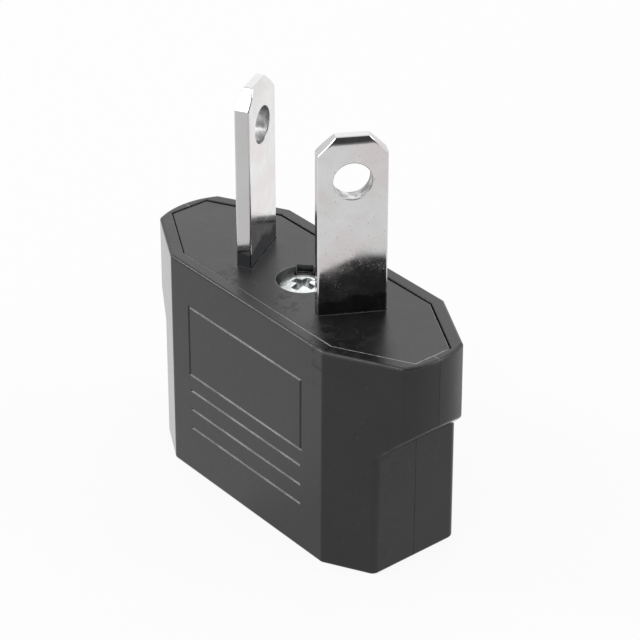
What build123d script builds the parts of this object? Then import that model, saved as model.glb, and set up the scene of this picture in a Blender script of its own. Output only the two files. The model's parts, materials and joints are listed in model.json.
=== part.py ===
from build123d import *
import math
import os

# Body outline at its foot, seen from above, with long faces, slanted facets and bowed ends
body_width = 14.6
face_half_length = 11.15
facet_angle = 28.7
end_radius = 7.65
outline_corner_radius = 0.5
body_height = 22.7
body_draft = 0.38

# Lower ends, cut back under a sloping shoulder that serves as a finger grip
lower_end_x = 15.75
shoulder_z = 12.8
shoulder_slope = 45
shoulder_edge_radius = 0.5
lower_end_corner_radius = 0.8
foot_edge_radius = 0.3
top_edge_radius = 0.3

# Shell and its stepped cavity
socket_floor = 4.0
lower_end_wall = 1.6
rim_width = 1.25
rim_edge_radius = 0.1
ledge_width = 0.95
end_pocket_rise = 3.5

# Carrier plate that closes the shell and holds the blades
carrier_half_length = 17.75
carrier_thickness = 2.0
carrier_recess = 0.1
carrier_clearance = 0.1
carrier_edge_radius = 0.15
hub_radius = 3.2
hub_depth = 1.8
pattern_y = -0.3

# Flat blades in a V that opens towards +Y
blade_spacing = 13.7
blade_angle = 30
blade_width = 6.35
blade_thickness = 1.5
blade_projection = 17.5
blade_tip_chamfer = 1.67
blade_tip_bevel = 0.3
blade_tip_bevel_height = 0.75
blade_edge_radius = 0.15
blade_slot_clearance = 0.05
blade_hole_radius = 1.75
blade_hole_height = 13.2

# Stake at the blade's root that holds both contact jaws
stake_width = 2.2
stake_clearance = 0.03
stake_head_margin = 0.3
stake_head_height = 0.45

# Socket face for round and flat pins
round_pin_spacing = 19.0
round_hole_radius = 2.5
flat_pin_spacing = 12.7
flat_slot_width = 7.2
flat_slot_thickness = 1.9
aperture_chamfer = 0.35

# Contact jaws, folded from bronze strip
jaw_thickness = 0.4
jaw_bend_radius = 0.5
jaw_bend_y = 3.5
jaw_throat_z = 9.3
jaw_throat_height = 2.6
jaw_mouth_z = 5.6
jaw_mouth_flare = 0.7
jaw_reach = 2.0
round_finger_gap = 3.9
round_finger_width = 3.2
flat_finger_gap = 6.2
flat_finger_width = 1.8

# Steel clip that presses the round pin fingers together
clip_thickness = 0.4
clip_height = 2.0
clip_clearance = 0.05
clip_back_gap = 0.3
clip_rest_gap = 0.2
clip_corner_radius = 0.9

# Walls and rests inside the shell that carry the contacts
chamber_wall_x = 3.3
chamber_wall_thickness = 1.0
end_rest_width = 3.0
foot_overhang = 0.8
foot_clearance = 0.15

# Screw that ties the carrier to the shell
screw_head_radius = 2.25
screw_head_height = 1.6
screw_head_sink = 0.35
screw_head_crown = 0.45
screw_shank_radius = 1.2
screw_length = 9.5
screw_hole_clearance = 0.35
screw_thread_clearance = 0.05
screw_tip_gap = 0.8
counterbore_radius = 2.5
notch_angle = 136
notch_width = 1.6
notch_reach = 0.25
notch_depth = 0.8
boss_radius = 2.9
cross_span = 2.6
cross_width = 0.65
cross_depth = 0.9

# Engraved panel on the front face
panel_x = -0.17
panel_z = 14.67
panel_width = 16.6
panel_height = 7.4
groove_width = 0.28
groove_depth = 0.12
line_length = 16.2
line_top_z = 9.2
line_pitch = 2.1
line_count = 3

# Fine line that the mould's halves leave down both ends and across the rim
parting_depth = 0.06
parting_reach = 0.2

# Places worked out from the sizes above
top_inset = body_height * math.tan(math.radians(body_draft))
pocket_inset = top_inset + rim_width
cavity_inset = pocket_inset + ledge_width
cavity_end_x = lower_end_x - lower_end_wall
end_pocket_x = carrier_half_length - ledge_width
end_pocket_z = shoulder_z + end_pocket_rise
carrier_top = body_height - carrier_recess
ledge_z = carrier_top - carrier_thickness
hub_z = ledge_z - hub_depth
feet_bottom = ledge_z - 2 * jaw_thickness
blade_x = blade_spacing / 2
blade_top = body_height + blade_projection
round_pin_x = round_pin_spacing / 2
flat_pin_x = flat_pin_spacing / 2
clip_end_x = round_pin_x + round_hole_radius + clip_back_gap + clip_thickness
end_rest_x = clip_end_x + clip_rest_gap
screw_seat = carrier_top - screw_head_sink - screw_head_height
screw_tip = screw_seat - screw_length


def octagon(inset, end_x):
    """Outline parallel to the body's faces and facets, cut straight at its ends."""
    slope = math.radians(facet_angle)
    half_width = body_width / 2
    facet_distance = face_half_length * math.sin(slope) + half_width * math.cos(slope)
    side_y = half_width - inset
    corner_x = (facet_distance - inset - side_y * math.cos(slope)) / math.sin(slope)
    end_y = (facet_distance - inset - end_x * math.sin(slope)) / math.cos(slope)
    right = [(corner_x, -side_y), (end_x, -end_y), (end_x, end_y), (corner_x, side_y)]
    left = [(-x, -y) for x, y in right]
    return make_face(Polyline(*right, *left, close=True))


def body_outline():
    """Body outline with facets that run out into bowed ends."""
    slope = math.radians(facet_angle)
    half_width = body_width / 2
    reach = half_width * math.cos(slope)
    facet_length = half_width * math.sin(slope) + math.sqrt(end_radius ** 2 - reach ** 2)
    bow_x = face_half_length + facet_length * math.cos(slope)
    bow_y = half_width - facet_length * math.sin(slope)
    edges = []
    for s in (1, -1):
        face_end = (s * face_half_length, s * half_width)
        bow_start = (s * bow_x, s * bow_y)
        bow_end = (s * bow_x, -s * bow_y)
        next_face = (s * face_half_length, -s * half_width)
        far_end = (-s * face_half_length, -s * half_width)
        edges.append(Line(face_end, bow_start))
        edges.append(ThreePointArc(bow_start, (s * (face_half_length + end_radius), 0), bow_end))
        edges.append(Line(bow_end, next_face))
        edges.append(Line(next_face, far_end))
    return make_face(edges)


def drafted_body():
    """Full outline raised to the body's height, leaning in by the draft, with rounded uprights."""
    leaning = mirror(extrude(body_outline(), amount=body_height, taper=body_draft), about=Plane.XY)
    uprights = [e for e in leaning.edges() if abs(e.center().Z - body_height / 2) < 0.01]
    return fillet(uprights, outline_corner_radius)


def layer(sketch, low, high):
    """A prism of the sketch between two heights."""
    return Pos(0, 0, low) * extrude(sketch, amount=high - low)


def upper_body(full):
    """Body above the shoulder, with its ends sloping in underneath."""
    span = 2 * (face_half_length + end_radius)
    rise = body_height - shoulder_z
    upper = full & Pos(0, 0, shoulder_z + rise / 2) * Box(span, body_width, rise)
    run = rise / math.tan(math.radians(shoulder_slope))
    for s in (1, -1):
        wedge = make_face(Polyline(
            (s * lower_end_x, shoulder_z), (s * (lower_end_x + run), body_height),
            (s * (lower_end_x + run), shoulder_z), close=True))
        upper -= extrude(Plane.XZ * wedge, amount=body_width, both=True)
    under = [f for f in upper.faces() if f.normal_at().Z < -0.1 < 0.1 < abs(f.normal_at().X)]
    sloped = ShapeList(e for f in under for e in f.edges() if e.center().Z > shoulder_z + 0.01)
    upper = fillet(sloped, shoulder_edge_radius)
    return fillet(upper.faces().sort_by(Axis.Z)[-1].edges(), top_edge_radius)


def lower_body(full):
    """Body below the shoulder, with flat ends and a rounded foot."""
    lower = full & Pos(0, 0, shoulder_z / 2) * Box(2 * lower_end_x, body_width, shoulder_z)
    uprights = [e for e in lower.edges()
                if abs(abs(e.center().X) - lower_end_x) < 0.01 and e.length > shoulder_z - 0.1]
    lower = fillet(uprights, lower_end_corner_radius)
    return fillet(lower.faces().sort_by(Axis.Z)[0].edges(), foot_edge_radius)


def apertures():
    """Round holes that run into flat slots, on the socket face."""
    sketch = Sketch()
    for s in (1, -1):
        sketch += Pos(s * round_pin_x, 0) * Circle(round_hole_radius)
        sketch += Pos(s * flat_pin_x, 0) * Rectangle(flat_slot_thickness, flat_slot_width)
    return sketch


def chamber_rests():
    """Walls, rests and boss that stand on the socket floor and carry the inner parts."""
    cavity = layer(octagon(cavity_inset, cavity_end_x), socket_floor, feet_bottom)
    height = feet_bottom - socket_floor
    middle_z = socket_floor + height / 2
    wall_x = chamber_wall_x + chamber_wall_thickness / 2
    rest_length = cavity_end_x - end_rest_x
    rests = layer(Pos(0, pattern_y) * Circle(boss_radius), socket_floor, hub_z)
    for s in (1, -1):
        wall = Pos(s * wall_x, 0, middle_z) * Box(chamber_wall_thickness, body_width, height)
        rest = Pos(s * (end_rest_x + rest_length / 2), 0, middle_z)
        rests += wall & cavity
        rests += rest * Box(rest_length, end_rest_width, height)
    return rests


def sunk(width, height):
    """Shallow cut below the local XY plane, with walls that slope outwards to its mouth."""
    block = Box(width + groove_width, height + groove_width, 2 * groove_depth)
    return chamfer(block.faces().sort_by(Axis.Z)[0].edges(), groove_depth)


def island(width, height):
    """What a sunk frame leaves standing inside it, with walls that slope inwards to its top."""
    spread = 2 * groove_depth - groove_width
    block = Pos(0, 0, -groove_depth / 2) * Box(width + spread, height + spread, 3 * groove_depth)
    return chamfer(block.faces().sort_by(Axis.Z)[-1].edges(), 2 * groove_depth)


def front_grooves():
    """Frame and lines engraved in the front face, which leans back by the draft."""
    lean = math.radians(body_draft)
    front = Plane(origin=(0, -body_width / 2, 0), x_dir=(1, 0, 0),
                  z_dir=(0, -math.cos(lean), math.sin(lean)))
    frame = sunk(panel_width, panel_height) - island(panel_width, panel_height)
    cuts = [Pos(panel_x, panel_z) * frame]
    for i in range(line_count):
        cuts.append(Pos(panel_x, line_top_z - i * line_pitch) * sunk(line_length, 0))
    return [front * cut for cut in cuts]


def parting_lines():
    """Fine vee cuts down the lower ends, down the bowed ends and across the rim."""
    lean = math.radians(body_draft)
    end_x = face_half_length + end_radius
    mouth = parting_depth + parting_reach
    vee = make_face(Polyline((-parting_depth, 0), (parting_reach, mouth), (parting_reach, -mouth),
                             close=True))
    bow = Plane(origin=(end_x, 0, 0), x_dir=(math.cos(lean), 0, math.sin(lean)),
                z_dir=(-math.sin(lean), 0, math.cos(lean)))
    rim = Plane(origin=(carrier_half_length, 0, body_height), x_dir=(0, 0, 1), z_dir=(1, 0, 0))
    right = [extrude(Pos(lower_end_x, 0, 0) * vee, amount=shoulder_z),
             extrude(bow * vee, amount=body_height / math.cos(lean)),
             extrude(rim * vee, amount=end_x - carrier_half_length)]
    return right + [mirror(cut, about=Plane.YZ) for cut in right]


def housing():
    """Moulded shell with the socket face at its foot and a pocket for the carrier."""
    full = drafted_body()
    shell = upper_body(full) + lower_body(full)
    shell -= layer(octagon(pocket_inset, carrier_half_length), ledge_z, body_height)
    shell = fillet(shell.faces().sort_by(Axis.Z)[-1].inner_wires()[0].edges(), rim_edge_radius)
    shell -= layer(octagon(cavity_inset, cavity_end_x), socket_floor, ledge_z)
    shell -= layer(octagon(cavity_inset, end_pocket_x), end_pocket_z, ledge_z)
    shell += chamber_rests()
    shell -= layer(Pos(0, pattern_y) * Circle(screw_shank_radius + screw_thread_clearance),
                   screw_tip - screw_tip_gap, hub_z)
    shell -= extrude(apertures(), amount=socket_floor)
    mouths = [e for e in shell.edges()
              if abs(e.center().Z) < 0.001 and abs(e.center().X) < round_pin_x + round_hole_radius
              and abs(e.center().Y) <= flat_slot_width / 2]
    shell = chamfer(mouths, aperture_chamfer)
    for cut in front_grooves() + parting_lines():
        shell -= cut
    return shell


def blade_seat(side=1):
    """Upright frame on a blade's centre line, with local X across the blade's width."""
    return Pos(side * blade_x, pattern_y) * Rot(0, 0, 90 - side * blade_angle)


def blade_carrier():
    """Plate that fills the pocket, with blade slots, a hub and a counterbore."""
    outline = octagon(pocket_inset + carrier_clearance, carrier_half_length - carrier_clearance)
    plate = layer(outline, ledge_z, carrier_top)
    plate = fillet(plate.faces().sort_by(Axis.Z)[-1].edges(), carrier_edge_radius)
    plate += layer(Pos(0, pattern_y) * Circle(hub_radius), hub_z, ledge_z)
    plate -= layer(Pos(0, pattern_y) * Circle(counterbore_radius), screw_seat, carrier_top)
    plate -= layer(Pos(0, pattern_y) * Circle(screw_shank_radius + screw_hole_clearance),
                   hub_z, screw_seat)
    notch = Pos(counterbore_radius, 0) * Rectangle(2 * notch_reach, notch_width)
    plate -= layer(Pos(0, pattern_y) * Rot(0, 0, notch_angle) * notch, carrier_top - notch_depth, carrier_top)
    slot = Rectangle(blade_width + 2 * blade_slot_clearance, blade_thickness + 2 * blade_slot_clearance)
    for side in (1, -1):
        plate -= layer(blade_seat(side) * slot, ledge_z, carrier_top)
    return plate


def blade():
    """Flat blade with a chamfered and bevelled tip, a hole and a staked root."""
    half = blade_width / 2
    front = make_face(Polyline(
        (-half, ledge_z), (half, ledge_z), (half, blade_top - blade_tip_chamfer),
        (half - blade_tip_chamfer, blade_top), (blade_tip_chamfer - half, blade_top),
        (-half, blade_top - blade_tip_chamfer), close=True))
    thick = blade_thickness / 2
    tip = thick - blade_tip_bevel
    side = make_face(Polyline(
        (-thick, ledge_z), (thick, ledge_z), (thick, blade_top - blade_tip_bevel_height),
        (tip, blade_top), (-tip, blade_top), (-thick, blade_top - blade_tip_bevel_height),
        close=True))
    body = extrude(Plane.XZ * front, amount=blade_thickness, both=True)
    body &= extrude(Plane.YZ * side, amount=blade_width, both=True)
    body &= layer(RectangleRounded(blade_width, blade_thickness, blade_edge_radius), ledge_z, blade_top)
    hole_z = body_height + blade_hole_height
    body -= Pos(0, 0, hole_z) * Rot(90, 0, 0) * Cylinder(blade_hole_radius, 2 * blade_thickness)
    body += layer(Rectangle(stake_width, blade_thickness), feet_bottom, ledge_z)
    margin = 2 * stake_head_margin
    head = Rectangle(stake_width + margin, blade_thickness + margin)
    body += layer(head, feet_bottom - stake_head_height, feet_bottom)
    return blade_seat() * body


def finger(x, width, gap, foot_z, side):
    """Strip that leaves the foot, bends down, closes in at the throat and flares at its mouth."""
    throat_y = gap / 2 + jaw_thickness / 2
    throat_top = jaw_throat_z + jaw_throat_height / 2
    throat_foot = jaw_throat_z - jaw_throat_height / 2
    path = FilletPolyline(
        (x, side * (jaw_bend_y - jaw_reach), foot_z), (x, side * jaw_bend_y, foot_z),
        (x, side * jaw_bend_y, (foot_z + throat_top) / 2 + jaw_bend_radius),
        (x, side * throat_y, throat_top), (x, side * throat_y, throat_foot),
        (x, side * (throat_y + jaw_mouth_flare), jaw_mouth_z), radius=jaw_bend_radius)
    start = Plane(origin=path @ 0, x_dir=(1, 0, 0), z_dir=path % 0)
    return sweep(start * Rectangle(width, jaw_thickness), path=path)


def contact_jaw(side, foot_top):
    """Jaw with a foot under the carrier and one finger each for flat and round pins."""
    foot_z = foot_top - jaw_thickness / 2
    low_x = chamber_wall_x + chamber_wall_thickness - foot_overhang
    high_x = end_rest_x + foot_overhang
    low_y = -jaw_reach
    high_y = jaw_bend_y - jaw_bend_radius
    foot = Pos((low_x + high_x) / 2, side * (low_y + high_y) / 2, foot_z)
    jaw = foot * Box(high_x - low_x, high_y - low_y, jaw_thickness)
    jaw &= layer(octagon(cavity_inset + foot_clearance, end_pocket_x), feet_bottom, ledge_z)
    jaw += finger(flat_pin_x, flat_finger_width, flat_finger_gap, foot_z, side)
    jaw += finger(round_pin_x, round_finger_width, round_finger_gap, foot_z, side)
    hole = Rectangle(stake_width + 2 * stake_clearance, blade_thickness + 2 * stake_clearance)
    return jaw - layer(blade_seat() * hole, foot_top - jaw_thickness, foot_top)


def pressure_clip():
    """Steel strip bent round the two fingers of the round pin, closed at the outer end."""
    leg_y = round_finger_gap / 2 + jaw_thickness + clip_clearance + clip_thickness / 2
    start_x = round_pin_x - round_finger_width / 2
    back_x = clip_end_x - clip_thickness / 2
    path = FilletPolyline((start_x, leg_y, jaw_throat_z), (back_x, leg_y, jaw_throat_z),
                          (back_x, -leg_y, jaw_throat_z), (start_x, -leg_y, jaw_throat_z),
                          radius=clip_corner_radius)
    start = Plane(origin=path @ 0, x_dir=(0, 0, 1), z_dir=path % 0)
    return sweep(start * Rectangle(clip_height, clip_thickness), path=path)


def centre_screw():
    """Pan head screw with a crowned head, a cross recess and a plain shank."""
    head = layer(Circle(screw_head_radius), screw_seat, screw_seat + screw_head_height)
    head = fillet(head.faces().sort_by(Axis.Z)[-1].edges(), screw_head_crown)
    bars = Rectangle(cross_span, cross_width) + Rectangle(cross_width, cross_span)
    top = screw_seat + screw_head_height
    head -= layer(bars, top - cross_depth, top)
    shank = layer(Circle(screw_shank_radius), screw_tip, screw_seat)
    shank = chamfer(shank.faces().sort_by(Axis.Z)[0].edges(), screw_shank_radius / 2)
    return Pos(0, pattern_y) * (head + shank)


pieces = {"housing": housing(), "blade_carrier": blade_carrier(), "centre_screw": centre_screw()}
one_side = {
    "blade": blade(),
    "contact_jaw_front": contact_jaw(-1, ledge_z),
    "contact_jaw_back": contact_jaw(1, ledge_z - jaw_thickness),
    "pressure_clip": pressure_clip(),
}
for name, shape in one_side.items():
    pieces[name + "_right"] = shape
    pieces[name + "_left"] = mirror(shape, about=Plane.YZ)

os.makedirs("parts", exist_ok=True)
for name, shape in pieces.items():
    export_step(shape, f"parts/{name}.step")
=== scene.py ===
import bmesh
import bpy
import json
import math
from mathutils import Matrix, Vector, noise


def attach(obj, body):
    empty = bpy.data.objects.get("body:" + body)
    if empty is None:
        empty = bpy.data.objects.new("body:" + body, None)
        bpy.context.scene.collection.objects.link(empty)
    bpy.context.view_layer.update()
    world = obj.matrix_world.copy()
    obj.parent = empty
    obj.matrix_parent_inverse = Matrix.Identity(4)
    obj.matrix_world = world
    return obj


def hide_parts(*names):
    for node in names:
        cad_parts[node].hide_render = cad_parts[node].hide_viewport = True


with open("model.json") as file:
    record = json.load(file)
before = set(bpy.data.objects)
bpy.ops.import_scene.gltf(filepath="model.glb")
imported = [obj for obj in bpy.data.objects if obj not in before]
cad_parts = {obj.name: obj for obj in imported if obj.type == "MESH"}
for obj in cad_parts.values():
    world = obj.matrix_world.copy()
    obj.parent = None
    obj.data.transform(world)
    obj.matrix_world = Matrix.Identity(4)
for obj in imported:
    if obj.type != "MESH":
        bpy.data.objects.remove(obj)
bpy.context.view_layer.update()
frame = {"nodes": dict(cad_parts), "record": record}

MM = 0.001
PER_MM = 1000.0
FLOAT = "NodeSocketFloat"
VECTOR = "NodeSocketVector"

# Camera, as solved from the photograph, in millimetres
CAMERA_PLACE = (159.3, -128.9, 141.0)
CAMERA_AIM = (-0.2, 1.9, 17.3)
CAMERA_LENS = 144.9
CAMERA_SENSOR = 36.0

# Blades, as the carried-over ones stand, in millimetres and degrees
BLADE_SPACING = 13.7
BLADE_TURN = 30.0
PATTERN_Y = -0.3
BLADE_WIDTH = 6.35
BLADE_THICKNESS = 1.5
BLADE_TOP = 40.2
TIP_CUT = 1.67
TIP_BEVEL = 0.3
TIP_BEVEL_HEIGHT = 0.75
TIP_KNEE = 0.38
TIP_WEAR = 0.02
TIP_NARROWING = 0.004
WEAR_DEPTH = 2.6
WEAR_FADE = 2.0
WEAR_GRAIN = 0.9
HOLE_RADIUS = 1.75
HOLE_Z = 35.9
# Height of the painted shade at the blade's foot
FOOT_SHADE_Z = 22.9
BLADE_ROUNDING = 0.17
BORE_ROUNDING = 0.12
FLAT_BAND = 0.06
LEDGE_Z = 20.6
FEET_BOTTOM = 19.8
ROOT_Z = 19.35
STAKE_HALF = 1.1
STAKE_MARGIN = 0.3
STAKE_OVERLAP = 0.1
STAKE_EASING = 0.06
ROOT_CORNER = 0.5
TIP_CORNER = 0.2
CORNER_STEPS = 4
ROUND_STEPS = 96
BLADE_SMOOTH = 50

# Cuts that keep the faces flat: above the ledge in millimetres, round the tip's bend in knees
ROOT_CUTS = (1.6, 1.8)
BEND_CUTS = (-1.6, -1, -0.5, 0, 0.5, 1, 1.4)

# Screw and carrier plate, in millimetres and degrees
HEAD_TOP = 22.25
HEAD_RADIUS = 2.25
HEAD_CROWN = 0.35
HEAD_ROUNDING = 0.2
CROWN_RADIUS = HEAD_RADIUS - HEAD_ROUNDING
CROWN_STEPS = 12
ROUNDING_STEPS = 5
CROWN_POWER = 2.4
SCREW_SEAT = 20.65
SHANK_RADIUS = 1.2
SHANK_END = 11.15
SHANK_POINT_LENGTH = 0.6
SHANK_POINT_DROP = 0.5
RECESS_TURN = 12.0
RECESS_TIP = -1.12
EASE_WIDTH = 0.05
EASE_ANGLE = 40
SCREW_SMOOTH = 35
CARRIER_END = 16.5
CARRIER_SIDE = 5.0
END_SEAM_CLOSING = 0.09
FRONT_SEAM_CLOSING = 0.05
LEDGE_SLACK = 0.01
CARRIER_SMOOTH = 3

# Rings of the cross recess: half span, half width, height from the top of the crown
RECESS_RINGS = ((1.62, 0.50, 0.4), (1.30, 0.40, -0.10), (0.55, 0.26, -1.0))

# Spots rubbed by the hand and by the outlet, place and radius in millimetres
CARRIER_SPOTS = [((-4.0, -5.0, 22.6), 4.0), ((9.5, -4.0, 22.6), 4.5), ((2.0, -4.5, 22.6), 3.0)]
SHELL_SPOTS = [((17.0, -4.0, 11.0), 5.0), ((11.5, -7.0, 22.0), 5.0), ((15.5, -4.5, 1.0), 3.0)]

# Height in metres over which the top rim takes its painted highlight
RIM_HIGHLIGHT_START = 0.02240
RIM_HIGHLIGHT_FULL = 0.02244

# Cosines between which a surface turns from a face into an edge
FACE_AGREES = 0.985
EDGE_AGREES = 0.90

# Scratches: the axis their layers are turned about, then each layer's turn and seed
SCRATCH_AXIS = (0.3, 0.5, 0.8)
SCRATCH_LAYERS = ((0.35, 3.0), (1.1, 11.0), (-0.6, 23.0))

# Colours, and what makes a surface plastic or metal
PLASTIC_SHADE = 0.0095
DUST = (0.06, 0.06, 0.058)
NICKEL_DULL = (0.74, 0.725, 0.72)
NICKEL_BRIGHT = (0.82, 0.82, 0.825)
NICKEL_PINK = (0.76, 0.70, 0.69)
NICKEL_SPECK = (0.42, 0.36, 0.33)
NICKEL_SHEARED = (0.50, 0.50, 0.505)
# Lighter edge colour: partly wear, partly painted highlight
NICKEL_WORN_EDGE_AND_HIGHLIGHT = (0.92, 0.92, 0.92)
# Torn bore colours, darkened in part as painted shade
TORN_AND_SHADED_DARK = (0.20, 0.20, 0.205)
TORN_AND_SHADED_BRIGHT = (0.62, 0.62, 0.62)
# Painted shade towards the blade's foot
FOOT_PAINTED_SHADE = (0.16, 0.17, 0.19)
ZINC_DULL = (0.76, 0.80, 0.80)
ZINC_BRIGHT = (0.93, 0.96, 0.96)
ZINC_SCRATCH = (0.45, 0.50, 0.50)
# Lighter edge colour: partly wear, partly painted highlight
ZINC_WORN_EDGE_AND_HIGHLIGHT = (0.97, 0.98, 0.98)
# Painted shade inside the cross recess
RECESS_PAINTED_SHADE = (0.06, 0.07, 0.075)
BRONZE_BRIGHT = (0.80, 0.56, 0.30)
BRONZE_DULL = (0.55, 0.34, 0.17)
STEEL_BRIGHT = (0.62, 0.62, 0.63)
STEEL_DULL = (0.36, 0.37, 0.40)
PLASTIC = {"IOR": 1.5}
METAL = {"Metallic": 1.0}

# Studio floor and room
FLOOR_HALF = 1.2
FLOOR_SHADE = 0.86
FLOOR_GLOW = 0.9
ROOM_LIGHT = 0.72

# Dim side of the room, where the photographer stands, as metal and gloss see it
DIM_SIDE = (0.80, -0.30, 0.515)
DIM_SIDE_SHADE = 0.05
DIM_SIDE_NEAR = 0.95
DIM_SIDE_FAR = 0.72
DIM_FLOOR_SIDE = (0.94, -0.34, 0.0)
DIM_FLOOR_SHADE = 0.75
DIM_FLOOR_NEAR = 0.75
DIM_FLOOR_FAR = -0.15

# Softboxes by the direction they shine from, distance and size in metres
SOFTBOXES = {
    "key_softbox": {"from": (-0.66, -0.52, 0.54), "distance": 0.8, "size": 0.22, "watts": 1.3},
    "front_softbox": {"from": (-0.03, -0.605, 0.794), "distance": 0.8, "size": 0.20, "watts": 0.6},
    "end_softbox": {"from": (0.515, 0.543, 0.663), "distance": 0.8, "size": 0.20, "watts": 0.6},
    "back_softbox": {"from": (-0.663, 0.543, 0.515), "distance": 1.0, "size": 0.9, "watts": 1.1},
}


def node_maker(tree):
    """A function that adds a node to the tree, sets it up and returns it."""
    def add(kind, inputs=None, **settings):
        node = tree.nodes.new(kind)
        for key, value in settings.items():
            setattr(node, key, value)
        for key, value in (inputs or {}).items():
            if isinstance(value, bpy.types.NodeSocket):
                tree.links.new(value, node.inputs[key])
            else:
                node.inputs[key].default_value = value
        return node
    return add


def new_material(name):
    """A material with an empty node tree, and the function that adds its nodes."""
    material = bpy.data.materials.new(name)
    material.use_nodes = True
    material.node_tree.nodes.clear()
    return material, node_maker(material.node_tree)


def reckon(add, kind, first, second):
    """Result of a math node on two values."""
    return add("ShaderNodeMath", {0: first, 1: second}, operation=kind).outputs[0]


def stretch(add, value, low, high, to_low=0.0, to_high=1.0):
    """Smooth step of a value from one range to another."""
    return add("ShaderNodeMapRange", {
        "Value": value, "From Min": low, "From Max": high, "To Min": to_low, "To Max": to_high},
        interpolation_type="SMOOTHSTEP").outputs["Result"]


def blend(add, factor, first, second):
    """Mix of two colours."""
    mix = add("ShaderNodeMix", {"Factor": factor}, data_type="RGBA")
    tree = mix.id_data
    for socket, value in ((mix.inputs[6], first), (mix.inputs[7], second)):
        if isinstance(value, bpy.types.NodeSocket):
            tree.links.new(value, socket)
        else:
            socket.default_value = (*value, 1.0)
    return mix.outputs[2]


def plus_share(add, value, mask, amount):
    """Value with an amount of a mask added."""
    return reckon(add, "ADD", value, reckon(add, "MULTIPLY", mask, amount))


def tint(add, color, mask, amount, other):
    """Colour mixed towards another by an amount of a mask."""
    return blend(add, reckon(add, "MULTIPLY", mask, amount), color, other)


def in_mm(add, place):
    """Place in millimetres."""
    return add("ShaderNodeVectorMath", {0: place, 3: PER_MM}, operation="SCALE").outputs[0]


def noise_value(add, place, scale, detail, distortion=0.0):
    """Noise at a place, between zero and one."""
    return add("ShaderNodeTexNoise", {
        "Vector": place, "Scale": scale, "Detail": detail, "Distortion": distortion}).outputs["Fac"]


def finished(material, add, color, gloss, height, strength, depth, kind):
    """Close a material of a kind, with a bump made from the height."""
    bump = add("ShaderNodeBump", {"Height": height, "Strength": strength, "Distance": depth})
    shader = add("ShaderNodeBsdfPrincipled", {
        "Base Color": color, "Roughness": gloss, "Normal": bump.outputs[0], **kind})
    add("ShaderNodeOutputMaterial", {"Surface": shader.outputs[0]})
    return material


# Studio


def seen_share(add):
    """One for camera, mirror and glass rays, which see a plain white studio."""
    path = add("ShaderNodeLightPath")
    seen = reckon(add, "MAXIMUM", path.outputs["Is Camera Ray"], path.outputs["Is Glossy Ray"])
    return reckon(add, "MAXIMUM", seen, path.outputs["Is Transmission Ray"])


def dimmed(add, direction, side, near, far, shade):
    """Brightness that falls to a shade towards one side, for mirror rays only."""
    unit = Vector(side).normalized()
    facing = add("ShaderNodeVectorMath", {0: direction, 1: unit}, operation="DOT_PRODUCT")
    share = stretch(add, facing.outputs["Value"], far, near)
    path = add("ShaderNodeLightPath")
    share = reckon(add, "MULTIPLY", share, path.outputs["Is Glossy Ray"])
    fall = reckon(add, "MULTIPLY", share, 1.0 - shade)
    return reckon(add, "SUBTRACT", 1.0, fall)


def make_room():
    """White room, plain white where it is seen and softer where it lights."""
    world = bpy.data.worlds.new("studio_room")
    bpy.context.scene.world = world
    world.use_nodes = True
    world.node_tree.nodes.clear()
    add = node_maker(world.node_tree)
    direction = add("ShaderNodeTexCoord").outputs["Generated"]
    brightness = dimmed(add, direction, DIM_SIDE, DIM_SIDE_NEAR, DIM_SIDE_FAR, DIM_SIDE_SHADE)
    seen = add("ShaderNodeBackground", {"Color": (1, 1, 1, 1), "Strength": brightness})
    lights = add("ShaderNodeBackground", {"Color": (1, 1, 1, 1), "Strength": ROOM_LIGHT})
    mix = add("ShaderNodeMixShader", {0: seen_share(add), 1: lights.outputs[0], 2: seen.outputs[0]})
    add("ShaderNodeOutputWorld", {"Surface": mix.outputs[0]})


def make_floor():
    """Large pale floor that shows near white and keeps the adapter's soft shadow."""
    mesh = bpy.data.meshes.new("floor")
    corners = [(x * FLOOR_HALF, y * FLOOR_HALF, 0) for x, y in ((-1, -1), (1, -1), (1, 1), (-1, 1))]
    mesh.from_pydata(corners, [], [(0, 1, 2, 3)])
    floor = bpy.data.objects.new("floor", mesh)
    bpy.context.scene.collection.objects.link(floor)
    material, add = new_material("white_floor")
    paint = add("ShaderNodeBsdfDiffuse", {"Color": (FLOOR_SHADE,) * 3 + (1,)})
    place = add("ShaderNodeTexCoord").outputs["Object"]
    outward = add("ShaderNodeVectorMath", {0: place}, operation="NORMALIZE").outputs[0]
    glow = add("ShaderNodeEmission", {"Color": (1, 1, 1, 1), "Strength": dimmed(
        add, outward, DIM_FLOOR_SIDE, DIM_FLOOR_NEAR, DIM_FLOOR_FAR, DIM_FLOOR_SHADE)})
    share = reckon(add, "MULTIPLY", seen_share(add), FLOOR_GLOW)
    mix = add("ShaderNodeMixShader", {0: share, 1: paint.outputs[0], 2: glow.outputs[0]})
    add("ShaderNodeOutputMaterial", {"Surface": mix.outputs[0]})
    mesh.materials.append(material)


def make_softboxes():
    """Soft square lamps that point at the adapter."""
    aim = Vector(CAMERA_AIM) * MM
    for name, box in SOFTBOXES.items():
        data = bpy.data.lights.new(name, "AREA")
        data.shape = "SQUARE"
        data.size = box["size"]
        data.energy = box["watts"]
        lamp = bpy.data.objects.new(name, data)
        outward = Vector(box["from"]).normalized()
        lamp.location = aim + outward * box["distance"]
        lamp.rotation_euler = outward.to_track_quat("Z", "Y").to_euler()
        bpy.context.scene.collection.objects.link(lamp)


def make_camera():
    """Long lens camera at the photograph's place."""
    data = bpy.data.cameras.new("camera")
    data.sensor_width = CAMERA_SENSOR
    data.lens = CAMERA_LENS
    data.clip_start = 0.01
    data.clip_end = 10
    camera = bpy.data.objects.new("camera", data)
    place = Vector(CAMERA_PLACE) * MM
    camera.location = place
    camera.rotation_euler = (Vector(CAMERA_AIM) * MM - place).to_track_quat("-Z", "Y").to_euler()
    bpy.context.scene.collection.objects.link(camera)
    bpy.context.scene.camera = camera


# Shared surface effects


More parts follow.
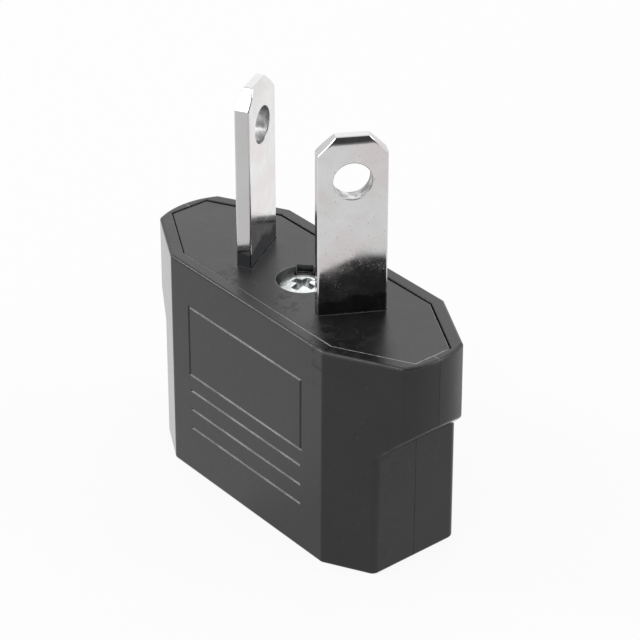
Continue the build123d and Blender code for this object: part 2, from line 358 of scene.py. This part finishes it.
def new_group(name, inputs, outputs):
    """Shader node group with named sockets; inputs are (name, kind, default)."""
    group = bpy.data.node_groups.new(name, "ShaderNodeTree")
    for label, kind, default in inputs:
        socket = group.interface.new_socket(label, in_out="INPUT", socket_type=kind)
        if default is not None:
            socket.default_value = default
    for label, kind in outputs:
        group.interface.new_socket(label, in_out="OUTPUT", socket_type=kind)
    add = node_maker(group)
    start = add("NodeGroupInput").outputs
    end = add("NodeGroupOutput")
    return group, add, start, end


def surface_life_group():
    """Grain, clouds, scratches and specks of a handled surface, on millimetre coordinates."""
    group, add, start, end = new_group("surface_life", [
        ("Place", VECTOR, None), ("Grain Size", FLOAT, 0.1), ("Cloud Size", FLOAT, 4.0),
        ("Scratch Length", FLOAT, 3.0), ("Scratch Spacing", FLOAT, 0.25),
        ("Speck Size", FLOAT, 0.35), ("Speck Rarity", FLOAT, 0.72)],
        [("Grain", FLOAT), ("Clouds", FLOAT), ("Scratches", FLOAT), ("Specks", FLOAT)])
    link = group.links.new
    mm = in_mm(add, start["Place"])
    grain_scale = reckon(add, "DIVIDE", 1.0, start["Grain Size"])
    link(noise_value(add, mm, grain_scale, 2.0), end.inputs["Grain"])
    cloud_scale = reckon(add, "DIVIDE", 1.0, start["Cloud Size"])
    clouds = add("ShaderNodeTexNoise", {"Vector": mm, "Scale": cloud_scale, "Detail": 5.0,
                                        "Roughness": 0.6, "Distortion": 0.4})
    link(stretch(add, clouds.outputs["Fac"], 0.3, 0.7), end.inputs["Clouds"])
    across = reckon(add, "DIVIDE", 1.0, start["Scratch Spacing"])
    along = reckon(add, "DIVIDE", 1.0, start["Scratch Length"])
    layers = []
    for turn, seed in SCRATCH_LAYERS:
        turned = add("ShaderNodeVectorRotate", {"Vector": mm, "Angle": turn, "Axis": SCRATCH_AXIS},
                     rotation_type="AXIS_ANGLE").outputs[0]
        size = add("ShaderNodeCombineXYZ", {"X": across, "Y": along, "Z": across}).outputs[0]
        squeezed = add("ShaderNodeVectorMath", {0: turned, 1: size}, operation="MULTIPLY")
        moved = add("ShaderNodeVectorMath", {0: squeezed.outputs[0], 1: (seed,) * 3},
                    operation="ADD")
        layers.append(stretch(add, noise_value(add, moved.outputs[0], 1.0, 1.0), 0.70, 0.76))
    scratches = reckon(add, "MAXIMUM", reckon(add, "MAXIMUM", layers[0], layers[1]), layers[2])
    link(scratches, end.inputs["Scratches"])
    speck_scale = reckon(add, "DIVIDE", 1.0, start["Speck Size"])
    rarity = start["Speck Rarity"]
    specks = noise_value(add, mm, speck_scale, 1.0)
    dots = stretch(add, specks, rarity, reckon(add, "ADD", rarity, 0.04))
    link(dots, end.inputs["Specks"])
    return group


def edge_wear_and_highlight_group():
    """Mask of convex and concave edges, broken up by noise, that lightens edges as wear and as
    painted highlight.
    """
    group, add, start, end = new_group("edge_wear_and_highlight", [
        ("Place", VECTOR, None), ("Edge Width", FLOAT, 0.00012), ("Patch Size", FLOAT, 1.5)],
        [("Wear and Highlight", FLOAT)])
    soft = add("ShaderNodeBevel", {"Radius": start["Edge Width"]}, samples=4).outputs[0]
    true = add("ShaderNodeNewGeometry").outputs["True Normal"]
    agree = add("ShaderNodeVectorMath", {0: soft, 1: true}, operation="DOT_PRODUCT")
    edge = stretch(add, agree.outputs["Value"], FACE_AGREES, EDGE_AGREES)
    mm = in_mm(add, start["Place"])
    scale = reckon(add, "DIVIDE", 1.0, start["Patch Size"])
    broken = stretch(add, noise_value(add, mm, scale, 3.0), 0.35, 0.6, 0.35, 1.0)
    group.links.new(reckon(add, "MULTIPLY", edge, broken), end.inputs["Wear and Highlight"])
    return group


def use_group(add, group, **values):
    """Place a shared group; underscores in a name stand for spaces."""
    node = add("ShaderNodeGroup", node_tree=group)
    tree = node.id_data
    for key, value in values.items():
        socket = node.inputs[key.replace("_", " ")]
        if isinstance(value, bpy.types.NodeSocket):
            tree.links.new(value, socket)
        else:
            socket.default_value = value
    return node.outputs


# Materials


def handled_patch(add, place, spots):
    """Mask that fades out around rubbed spots; each spot is a place and a radius in millimetres."""
    mask = None
    for spot, radius in spots:
        away = add("ShaderNodeVectorMath", {0: place, 1: Vector(spot) * MM}, operation="DISTANCE")
        near = stretch(add, away.outputs["Value"], radius * MM, 0.3 * radius * MM)
        mask = near if mask is None else reckon(add, "MAXIMUM", mask, near)
    return mask


def black_plastic(name, shared, scuffs, worn_edge_and_highlight, spots):
    """Satin black moulded plastic with grain, scuffs, dust, rubbed spots, edges lightened by wear
    and painted highlight, and a painted highlight on the top rim.
    """
    material, add = new_material(name)
    place = add("ShaderNodeTexCoord").outputs["Object"]
    life = use_group(add, shared["life"], Place=place, Grain_Size=0.09, Cloud_Size=3.5,
                     Scratch_Length=2.2, Scratch_Spacing=0.16, Speck_Size=0.3, Speck_Rarity=0.74)
    wear_and_highlight = use_group(add, shared["wear_and_highlight"], Place=place, Edge_Width=0.00012, Patch_Size=1.5)["Wear and Highlight"]
    shade = PLASTIC_SHADE
    clouded = (shade * 1.15, shade * 1.16, shade * 1.2)
    color = blend(add, life["Clouds"], (shade * 0.85,) * 3, clouded)
    marks = reckon(add, "MULTIPLY", life["Scratches"], scuffs)
    color = blend(add, marks, color, (shade * 2.6,) * 3)
    smear = noise_value(add, place, 0.9 * PER_MM, 4.0, 1.2)
    rubbed = reckon(add, "MULTIPLY", handled_patch(add, place, spots),
                    stretch(add, smear, 0.46, 0.66))
    color = tint(add, color, life["Specks"], 0.5, DUST)
    parts = add("ShaderNodeSeparateXYZ", {0: place}).outputs
    normal = add("ShaderNodeTexCoord").outputs["Normal"]
    upward = add("ShaderNodeSeparateXYZ", {0: normal}).outputs["Z"]
    # Painted highlight along the top rim, broken by noise and stronger towards the right end
    rim_highlight = reckon(add, "MULTIPLY", stretch(add, upward, FACE_AGREES, EDGE_AGREES),
                 stretch(add, parts["Z"], RIM_HIGHLIGHT_START, RIM_HIGHLIGHT_FULL))
    rim_highlight = reckon(add, "MULTIPLY", rim_highlight, stretch(add, smear, 0.30, 0.55, 0.35, 1.0))
    rim_highlight = reckon(add, "MULTIPLY", rim_highlight, stretch(add, parts["X"], -0.002, 0.008, 0.1, 1.0))
    # Edges and rim lightened: partly wear, partly painted highlight
    color = blend(add, reckon(add, "MAXIMUM", wear_and_highlight, rim_highlight), color, (worn_edge_and_highlight,) * 3)
    gloss = stretch(add, life["Clouds"], 0.0, 1.0, 0.25, 0.33)
    gloss = plus_share(add, gloss, rubbed, 0.22)
    gloss = plus_share(add, gloss, marks, 0.15)
    facing = add("ShaderNodeLayerWeight", {"Blend": 0.5}).outputs["Facing"]
    grazing = stretch(add, facing, 0.72, 0.92, 0.0, 0.72)
    gloss = reckon(add, "MULTIPLY", gloss, reckon(add, "SUBTRACT", 1.0, grazing))
    height = reckon(add, "MULTIPLY", life["Grain"], 0.5)
    height = plus_share(add, height, life["Clouds"], 1.2)
    height = plus_share(add, height, marks, -0.8)
    return finished(material, add, color, gloss, height, 0.5, 0.000012, PLASTIC)


def blade_frame(add, place):
    """Distance from the bore's axis in millimetres, share of sheared edge, height likewise."""
    parts = add("ShaderNodeSeparateXYZ", {0: in_mm(add, place)}).outputs
    folded = reckon(add, "ABSOLUTE", parts["X"], 0.0)
    from_middle = reckon(add, "SUBTRACT", folded, BLADE_SPACING / 2)
    from_pattern = reckon(add, "SUBTRACT", parts["Y"], PATTERN_Y)
    turn = math.radians(BLADE_TURN)
    along = reckon(add, "ADD", reckon(add, "MULTIPLY", from_middle, math.sin(turn)),
                   reckon(add, "MULTIPLY", from_pattern, math.cos(turn)))
    above = reckon(add, "SUBTRACT", parts["Z"], HOLE_Z)
    flat = add("ShaderNodeCombineXYZ", {"X": along, "Y": above}).outputs[0]
    bore = add("ShaderNodeVectorMath", {0: flat}, operation="LENGTH").outputs["Value"]
    normal = add("ShaderNodeTexCoord").outputs["Normal"]
    facing = add("ShaderNodeSeparateXYZ", {0: normal}).outputs
    side = add("ShaderNodeMath", {0: parts["X"]}, operation="SIGN").outputs[0]
    outward = reckon(add, "MULTIPLY", reckon(add, "MULTIPLY", facing["X"], side), math.cos(turn))
    outward = plus_share(add, outward, facing["Y"], -math.sin(turn))
    sheared = stretch(add, reckon(add, "ABSOLUTE", outward, 0.0), 0.75, 0.45)
    return bore, sheared, parts["Z"]


def nickel_plating(name, shared):
    """Bright nickel with pink and grey clouds, a slight wave, specks, edges lightened by wear and
    painted highlight, a torn bore in painted shade, and painted shade at the foot.
    """
    material, add = new_material(name)
    place = add("ShaderNodeTexCoord").outputs["Object"]
    from_bore, sheared, height_mm = blade_frame(add, place)
    in_bore = stretch(add, from_bore, HOLE_RADIUS + 0.10, HOLE_RADIUS - 0.02)
    life = use_group(add, shared["life"], Place=place, Grain_Size=0.2, Cloud_Size=2.4,
                     Scratch_Length=4.0, Scratch_Spacing=0.12, Speck_Size=0.22, Speck_Rarity=0.71)
    wear_and_highlight = use_group(add, shared["wear_and_highlight"], Place=place, Edge_Width=0.00012, Patch_Size=0.8)["Wear and Highlight"]
    color = blend(add, life["Clouds"], NICKEL_DULL, NICKEL_BRIGHT)
    pink = noise_value(add, place, 0.22 * PER_MM, 2.0)
    color = blend(add, stretch(add, pink, 0.45, 0.62, 0.0, 0.6), color, NICKEL_PINK)
    color = tint(add, color, life["Specks"], 0.55, NICKEL_SPECK)
    color = tint(add, color, sheared, 0.7, NICKEL_SHEARED)
    # Edges lighter: partly wear, partly painted highlight
    color = tint(add, color, wear_and_highlight, 0.4, NICKEL_WORN_EDGE_AND_HIGHLIGHT)
    # Bore: torn metal, darkened in part as painted shade
    punch = noise_value(add, place, 1.3 * PER_MM, 3.0)
    torn_and_shaded = blend(add, stretch(add, punch, 0.35, 0.65), TORN_AND_SHADED_DARK, TORN_AND_SHADED_BRIGHT)
    color = tint(add, color, in_bore, 0.85, torn_and_shaded)
    # Painted shade: the blade darker towards its foot, with a ragged edge
    ragged = reckon(add, "MULTIPLY", noise_value(add, place, 0.6 * PER_MM, 3.0), 2.6)
    foot_z = reckon(add, "SUBTRACT", height_mm, ragged)
    painted_foot_shade = stretch(add, foot_z, FOOT_SHADE_Z + 0.25, FOOT_SHADE_Z - 0.25, 0.0, 0.8)
    color = blend(add, painted_foot_shade, color, FOOT_PAINTED_SHADE)
    gloss = stretch(add, life["Clouds"], 0.0, 1.0, 0.10, 0.17)
    gloss = plus_share(add, gloss, in_bore, 0.25)
    gloss = plus_share(add, gloss, life["Scratches"], 0.12)
    height = reckon(add, "MULTIPLY", noise_value(add, place, 0.16 * PER_MM, 0.0), 6.0)
    height = plus_share(add, height, life["Scratches"], -0.12)
    height = plus_share(add, height, life["Specks"], -0.25)
    return finished(material, add, color, gloss, height, 0.6, 0.00001, METAL)


def scratched_zinc(name, shared):
    """Bright zinc plating, dented and scratched by the driver, with painted shade inside the recess
    and edges lightened by wear and painted highlight.
    """
    material, add = new_material(name)
    place = add("ShaderNodeTexCoord").outputs["Object"]
    life = use_group(add, shared["life"], Place=place, Grain_Size=0.15, Cloud_Size=1.1,
                     Scratch_Length=1.6, Scratch_Spacing=0.2, Speck_Size=0.35, Speck_Rarity=0.70)
    wear_and_highlight = use_group(add, shared["wear_and_highlight"], Place=place, Edge_Width=0.00012, Patch_Size=0.4)["Wear and Highlight"]
    color = blend(add, life["Clouds"], ZINC_DULL, ZINC_BRIGHT)
    color = tint(add, color, life["Scratches"], 0.5, ZINC_SCRATCH)
    from_axis = add("ShaderNodeVectorMath", {0: in_mm(add, place), 1: (0, PATTERN_Y, 0)},
                    operation="SUBTRACT").outputs[0]
    parts = add("ShaderNodeSeparateXYZ", {0: from_axis}).outputs
    level = add("ShaderNodeCombineXYZ", {"X": parts["X"], "Y": parts["Y"]}).outputs[0]
    radius = add("ShaderNodeVectorMath", {0: level}, operation="LENGTH").outputs["Value"]
    fall = reckon(add, "POWER", reckon(add, "DIVIDE", radius, CROWN_RADIUS), CROWN_POWER)
    surface = reckon(add, "SUBTRACT", HEAD_TOP, reckon(add, "MULTIPLY", fall, HEAD_CROWN))
    depth = reckon(add, "SUBTRACT", surface, parts["Z"])
    # Painted shade inside the cross recess, weaker deeper down
    inside = stretch(add, radius, 1.75, 1.60)
    recess_shade = reckon(add, "MULTIPLY", stretch(add, depth, 0.04, 0.10), inside)
    recess_shade = reckon(add, "MULTIPLY", recess_shade, stretch(add, depth, 0.25, 0.70, 0.85, 0.25))
    color = blend(add, recess_shade, color, RECESS_PAINTED_SHADE)
    # Edges lighter: partly wear, partly painted highlight
    color = tint(add, color, wear_and_highlight, 0.7, ZINC_WORN_EDGE_AND_HIGHLIGHT)
    gloss = stretch(add, life["Grain"], 0.3, 0.7, 0.30, 0.46)
    height = reckon(add, "MULTIPLY", life["Clouds"], 4.0)
    height = plus_share(add, height, life["Scratches"], -1.5)
    height = plus_share(add, height, life["Specks"], -2.0)
    return finished(material, add, color, gloss, height, 0.6, 0.00002, METAL)


def rolled_strip(name, shared, bright, dull, low, high):
    """Rolled metal strip with fine rolling lines, tarnish clouds and edges lightened by wear and
    painted highlight.
    """
    material, add = new_material(name)
    place = add("ShaderNodeTexCoord").outputs["Object"]
    life = use_group(add, shared["life"], Place=place, Grain_Size=0.12, Cloud_Size=2.0,
                     Scratch_Length=6.0, Scratch_Spacing=0.06, Speck_Size=0.3, Speck_Rarity=0.72)
    wear_and_highlight = use_group(add, shared["wear_and_highlight"], Place=place, Edge_Width=0.00008, Patch_Size=1.0)["Wear and Highlight"]
    color = blend(add, life["Clouds"], dull, bright)
    color = tint(add, color, life["Specks"], 0.6, tuple(0.5 * c for c in dull))
    # Edges lighter: partly wear, partly painted highlight
    color = tint(add, color, wear_and_highlight, 0.6, tuple(min(1.0, 1.2 * c) for c in bright))
    gloss = stretch(add, life["Clouds"], 0.0, 1.0, high, low)
    grain = reckon(add, "MULTIPLY", life["Grain"], 0.4)
    height = reckon(add, "SUBTRACT", grain, life["Scratches"])
    return finished(material, add, color, gloss, height, 0.5, 0.000008, METAL)


def make_finishes():
    """Every finish of the adapter, by the record's slot names."""
    # The shared edge mask lightens edges, partly as wear and partly as painted highlight
    shared = {"life": surface_life_group(), "wear_and_highlight": edge_wear_and_highlight_group()}
    return {
        # Fourth value: edge colour, partly wear and partly painted highlight
        "housing": black_plastic("black_moulded_shell", shared, 0.25, 0.03, SHELL_SPOTS),
        "carrier": black_plastic("black_moulded_carrier", shared, 0.6, 0.34, CARRIER_SPOTS),
        "blade": nickel_plating("bright_nickel_plating", shared),
        "screw": scratched_zinc("scratched_bright_zinc", shared),
        "contact": rolled_strip("rolled_bronze", shared, BRONZE_BRIGHT, BRONZE_DULL, 0.22, 0.38),
        "clip": rolled_strip("spring_steel", shared, STEEL_BRIGHT, STEEL_DULL, 0.25, 0.40),
    }


def dress_carried_pieces(finishes):
    """Give each carried-over piece the finish of its slot."""
    for part in frame["record"]["subparts"]:
        mesh = frame["nodes"][part["node"]].data
        mesh.materials.clear()
        mesh.materials.append(finishes[part["material_slot"]])


# Finer pieces, all sizes in millimetres until the mesh is made


def corner_arcs(corners):
    """Closed outline from anticlockwise corners, each with its radius and steps."""
    points = []
    for index, (x, y, radius, steps) in enumerate(corners):
        here = Vector((x, y))
        before = (Vector(corners[index - 1][:2]) - here).normalized()
        after = (Vector(corners[(index + 1) % len(corners)][:2]) - here).normalized()
        half_angle = before.angle(after) / 2
        center = here + (before + after).normalized() * radius / math.sin(half_angle)
        first = here + before * radius / math.tan(half_angle) - center
        last = here + after * radius / math.tan(half_angle) - center
        turn = math.atan2(first.x * last.y - first.y * last.x, first.dot(last))
        points.append(center + first + before * FLAT_BAND)
        for step in range(steps + 1):
            points.append(center + Matrix.Rotation(turn * step / steps, 2) @ first)
        points.append(center + last + after * FLAT_BAND)
    return points


def circle_points(radius, count, center=(0, 0)):
    """Points of a circle, anticlockwise."""
    return [Vector((center[0] + radius * math.cos(math.tau * k / count),
                    center[1] + radius * math.sin(math.tau * k / count))) for k in range(count)]


def inward(points, distance):
    """Anticlockwise outline moved inwards by a distance."""
    moved = []
    for index, here in enumerate(points):
        before = (here - points[index - 1]).normalized()
        after = (points[(index + 1) % len(points)] - here).normalized()
        inside = Vector((-before.y - after.y, before.x + after.x)).normalized()
        slant = max(0.5, inside.dot(Vector((-after.y, after.x))))
        moved.append(here + inside * distance / slant)
    return moved


def rounded_side(half, rounding, steps=5):
    """Inset and height pairs from the front face, round the edge, to the back face."""
    front = [(rounding + FLAT_BAND, half), (rounding, half)]
    for step in range(1, steps + 1):
        turn = math.pi / 2 * step / steps
        front.append((rounding * (1 - math.sin(turn)), half - rounding * (1 - math.cos(turn))))
    front.append((0, half - rounding - FLAT_BAND))
    return front + [(inset, -height) for inset, height in reversed(front)]


def bridge(bm, low, high):
    """Band of faces between two rings with the same count of points."""
    count = len(low)
    for k in range(count):
        after = (k + 1) % count
        bm.faces.new((low[k], low[after], high[after], high[k]))


def skin_loop(bm, outline, side_profile, sign):
    """Wall along an outline; gives the edges of its first and last ring."""
    rings = []
    for inset, height in side_profile:
        loop = inward(outline, sign * inset)
        rings.append([bm.verts.new((p.x, height, p.y)) for p in loop])
    count = len(outline)
    for low, high in zip(rings, rings[1:]):
        bridge(bm, low, high)
    return [[bm.edges.get((ring[k], ring[(k + 1) % count])) for k in range(count)]
            for ring in (rings[0], rings[-1])]


def soft_ramp(value, knee):
    """Zero before a bend and straight after it, rounded over the knee."""
    if value < -knee:
        return 0.0
    return value if value > knee else (value + knee) ** 2 / (4 * knee)


def finish_mesh(bm, name, body, slot, replaced, smooth_angle):
    """Turn the mesh data into a piece in metres that rides, has its slot and stands for a node."""
    bmesh.ops.scale(bm, vec=(MM, MM, MM), verts=bm.verts)
    bmesh.ops.recalc_face_normals(bm, faces=bm.faces)
    mesh = bpy.data.meshes.new(name)
    bm.to_mesh(mesh)
    bm.free()
    return finish_piece(mesh, name, body, slot, replaced, smooth_angle)


def finish_piece(mesh, name, body, slot, replaced, smooth_angle):
    """Piece from a finished mesh."""
    mesh.polygons.foreach_set("use_smooth", [True] * len(mesh.polygons))
    mesh.set_sharp_from_angle(angle=math.radians(smooth_angle))
    mesh.materials.clear()
    mesh.materials.append(FINISHES[slot])
    piece = bpy.data.objects.new(name, mesh)
    bpy.context.scene.collection.objects.link(piece)
    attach(piece, body)
    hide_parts(replaced)
    return piece


def eased_block(bm, half_size, low, high):
    """Block with eased edges, centred on the axis, for the stake at a blade's root."""
    verts = bmesh.ops.create_cube(bm, size=2)["verts"]
    for vert in verts:
        vert.co.x *= half_size[0]
        vert.co.y *= half_size[1]
        vert.co.z = high if vert.co.z > 0 else low
    edges = list({edge for vert in verts for edge in vert.link_edges})
    bmesh.ops.bevel(bm, geom=edges, offset=STAKE_EASING, segments=2, profile=0.5, affect="EDGES")


def make_blade(name, side, replaced):
    """Blade with rounded edges, a soft bevel at its tip, a smooth bore and its staked root."""
    half, thick = BLADE_WIDTH / 2, BLADE_THICKNESS / 2
    tip = [(half, BLADE_TOP - TIP_CUT), (half - TIP_CUT, BLADE_TOP)]
    corners = [(half, LEDGE_Z, ROOT_CORNER, CORNER_STEPS)]
    corners += [(x, z, TIP_CORNER, CORNER_STEPS) for x, z in tip]
    mirrored = [(-x, z, radius, steps) for x, z, radius, steps in reversed(corners)]
    outline = corner_arcs(corners + mirrored)
    bore = circle_points(HOLE_RADIUS, ROUND_STEPS, (0, HOLE_Z))
    bm = bmesh.new()
    outer = skin_loop(bm, outline, rounded_side(thick, BLADE_ROUNDING), 1)
    inner = skin_loop(bm, bore, rounded_side(thick, BORE_ROUNDING), -1)
    for outer_edges, inner_edges in zip(outer, inner):
        bmesh.ops.triangle_fill(bm, edges=outer_edges + inner_edges, use_beauty=True)
    bend_z = BLADE_TOP - TIP_BEVEL_HEIGHT
    cuts = [LEDGE_Z + rise for rise in ROOT_CUTS]
    cuts += [bend_z + TIP_KNEE * share for share in BEND_CUTS]
    for cut_z in cuts:
        bmesh.ops.bisect_plane(bm, geom=bm.verts[:] + bm.edges[:] + bm.faces[:], dist=1e-5,
                               plane_co=(0, 0, cut_z), plane_no=(0, 0, 1))
    eased_block(bm, (STAKE_HALF, thick), FEET_BOTTOM - STAKE_OVERLAP, LEDGE_Z + STAKE_OVERLAP)
    eased_block(bm, (STAKE_HALF + STAKE_MARGIN, thick + STAKE_MARGIN), ROOT_Z, FEET_BOTTOM)
    turn = math.radians(BLADE_TURN)
    along = Vector((side * math.sin(turn), math.cos(turn)))
    across = Vector((side * math.cos(turn), -math.sin(turn)))
    center = Vector((side * BLADE_SPACING / 2, PATTERN_Y))
    for vert in bm.verts:
        u, v, z = vert.co
        v *= 1 - TIP_BEVEL / TIP_BEVEL_HEIGHT * soft_ramp(z - bend_z, TIP_KNEE) / thick
        worn = max(0.0, min(1.0, (z - BLADE_TOP + WEAR_DEPTH) / WEAR_FADE))
        shift = noise.noise_vector(Vector((u, v, z * side)) * WEAR_GRAIN) * TIP_WEAR * worn
        u *= 1 - TIP_NARROWING * worn
        place = center + along * (u + shift.x) + across * (v + shift.y)
        vert.co = (place.x, place.y, min(BLADE_TOP, z + shift.z - TIP_WEAR * worn))
    return finish_mesh(bm, name, "root", "blade", replaced, BLADE_SMOOTH)


def lathe(bm, profile, count):
    """Closed turned shape from radius and height pairs that start and end on the axis."""
    rings = []
    for radius, height in profile:
        if radius == 0:
            rings.append([bm.verts.new((0, 0, height))])
        else:
            rings.append([bm.verts.new((p.x, p.y, height)) for p in circle_points(radius, count)])
    for low, high in zip(rings, rings[1:]):
        if len(low) == len(high):
            bridge(bm, low, high)
            continue
        for k in range(count):
            after = (k + 1) % count
            if len(low) == 1:
                bm.faces.new((low[0], high[k], high[after]))
            else:
                bm.faces.new((low[k], low[after], high[0]))


def cross_outline(span, width):
    """Cross with four arms, anticlockwise."""
    quarter = [(span, -width), (span, width), (width, width)]
    points = []
    for turn in range(4):
        spin = Matrix.Rotation(turn * math.pi / 2, 2)
        points += [spin @ Vector(p) for p in quarter]
    return points


def make_screw():
    """Pan head screw with a crown, a tapered cross recess and a plain shank."""
    bm = bmesh.new()
    crown = []
    for step in range(CROWN_STEPS + 1):
        radius = CROWN_RADIUS * step / CROWN_STEPS
        drop = HEAD_CROWN * (radius / CROWN_RADIUS) ** CROWN_POWER
        crown.append((radius, HEAD_TOP - drop))
    edge_z = crown[-1][1]
    for step in range(1, ROUNDING_STEPS + 1):
        turn = math.pi / 2 * step / ROUNDING_STEPS
        crown.append((HEAD_RADIUS - HEAD_ROUNDING * (1 - math.sin(turn)),
                      edge_z - HEAD_ROUNDING * (1 - math.cos(turn))))
    crown += [(HEAD_RADIUS, SCREW_SEAT), (SHANK_RADIUS, SCREW_SEAT),
              (SHANK_RADIUS, SHANK_END + SHANK_POINT_LENGTH),
              (SHANK_RADIUS - SHANK_POINT_DROP, SHANK_END), (0, SHANK_END)]
    lathe(bm, crown, ROUND_STEPS)
    cutter = bmesh.new()
    rings = []
    for span, width, rise in RECESS_RINGS:
        rings.append([cutter.verts.new((p.x, p.y, HEAD_TOP + rise))
                      for p in cross_outline(span, width)])
    for low, high in zip(rings, rings[1:]):
        bridge(cutter, low, high)
    for ring, rise in ((rings[0], RECESS_RINGS[0][2]), (rings[-1], RECESS_TIP)):
        middle = cutter.verts.new((0, 0, HEAD_TOP + rise))
        for k, point in enumerate(ring):
            cutter.faces.new((point, ring[(k + 1) % len(ring)], middle))
    pair = []
    for label, data, turn in (("head", bm, 0.0), ("recess", cutter, RECESS_TURN)):
        bmesh.ops.rotate(data, cent=(0, 0, 0), matrix=Matrix.Rotation(math.radians(turn), 3, "Z"),
                         verts=data.verts)
        bmesh.ops.translate(data, vec=(0, PATTERN_Y, 0), verts=data.verts)
        bmesh.ops.recalc_face_normals(data, faces=data.faces)
        mesh = bpy.data.meshes.new(label)
        data.to_mesh(mesh)
        data.free()
        blank = bpy.data.objects.new(label, mesh)
        bpy.context.scene.collection.objects.link(blank)
        pair.append(blank)
    head, recess = pair
    cut = head.modifiers.new("cut", "BOOLEAN")
    cut.operation = "DIFFERENCE"
    cut.solver = "EXACT"
    cut.object = recess
    ease = head.modifiers.new("ease", "BEVEL")
    ease.limit_method = "ANGLE"
    ease.angle_limit = math.radians(EASE_ANGLE)
    ease.width = EASE_WIDTH
    ease.segments = 2
    graph = bpy.context.evaluated_depsgraph_get()
    graph.update()
    mesh = bpy.data.meshes.new_from_object(head.evaluated_get(graph))
    for blank in pair:
        bpy.data.objects.remove(blank)
    mesh.transform(Matrix.Scale(MM, 4))
    return finish_piece(mesh, "cross_head_screw", "root", "screw", "centre_screw", SCREW_SMOOTH)


def make_carrier():
    """Carrier plate pressed towards the left and the front of its pocket, as in the photograph."""
    bm = bmesh.new()
    bm.from_mesh(frame["nodes"]["blade_carrier"].data)
    bmesh.ops.remove_doubles(bm, verts=bm.verts, dist=1e-7)
    bmesh.ops.scale(bm, vec=(PER_MM,) * 3, verts=bm.verts)
    for vert in bm.verts:
        if vert.co.z > LEDGE_Z - LEDGE_SLACK:
            if vert.co.x < -CARRIER_END:
                vert.co.x -= END_SEAM_CLOSING
            if vert.co.y < -CARRIER_SIDE and abs(vert.co.x) < CARRIER_END:
                vert.co.y -= FRONT_SEAM_CLOSING
    return finish_mesh(bm, "carrier_plate", "root", "carrier", "blade_carrier", CARRIER_SMOOTH)


def make_pieces():
    """The pieces that stand for nodes with finer shapes."""
    make_blade("nickel_blade_left", -1, "blade_left")
    make_blade("nickel_blade_right", 1, "blade_right")
    make_screw()
    make_carrier()


bpy.context.scene.view_settings.view_transform = "Standard"
make_room()
make_floor()
make_softboxes()
make_camera()
FINISHES = make_finishes()
dress_carried_pieces(FINISHES)
make_pieces()
